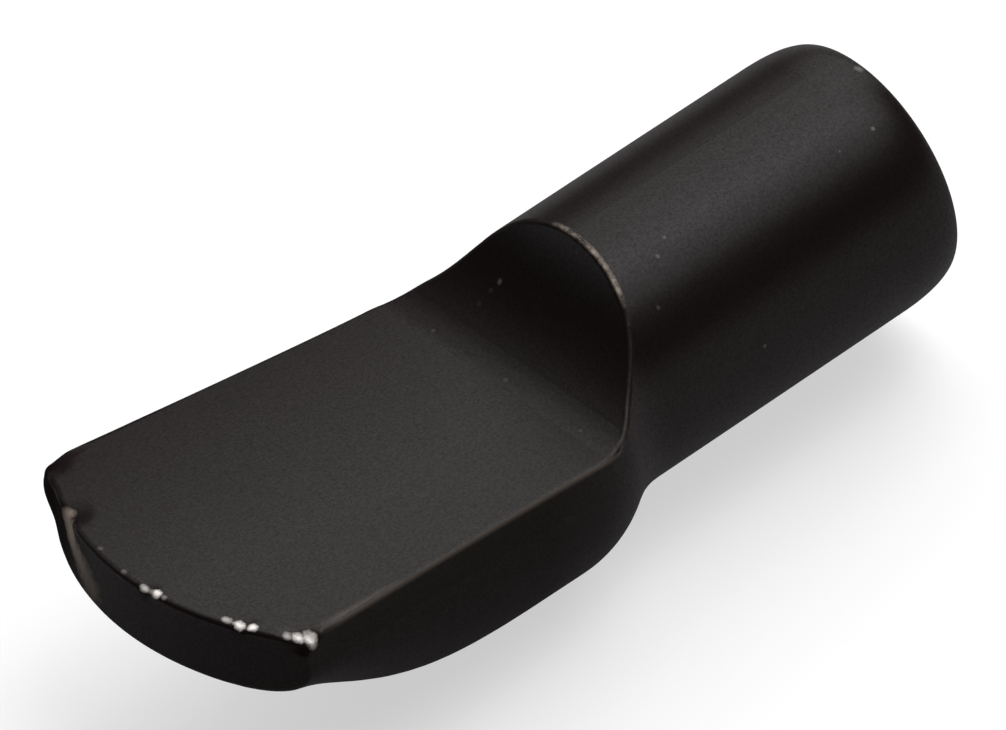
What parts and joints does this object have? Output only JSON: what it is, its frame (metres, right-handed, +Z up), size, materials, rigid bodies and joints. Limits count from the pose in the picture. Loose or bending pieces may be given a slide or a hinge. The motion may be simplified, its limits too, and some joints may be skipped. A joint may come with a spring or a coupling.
{
  "type": "shelf support",
  "caption": "Shelf support pressed from a steel rod: a round pin plugs into a hole in the cabinet side, and a flat-topped paddle carries the shelf.",
  "frame": {"origin": "on the pin's axis, level with the top of the arched rim where the wall meets the pin", "axes": "+X along the pin towards its free end, +Y across the paddle, +Z up from the seat"},
  "size_m": [0.0163, 0.007, 0.0056],
  "materials": {
    "black_steel": "satin black, rubbed bright along the rim and chipped along the tip"
  },
  "bodies": {
    "root": {"shelf_support": "black_steel"}
  },
  "joints": []
}
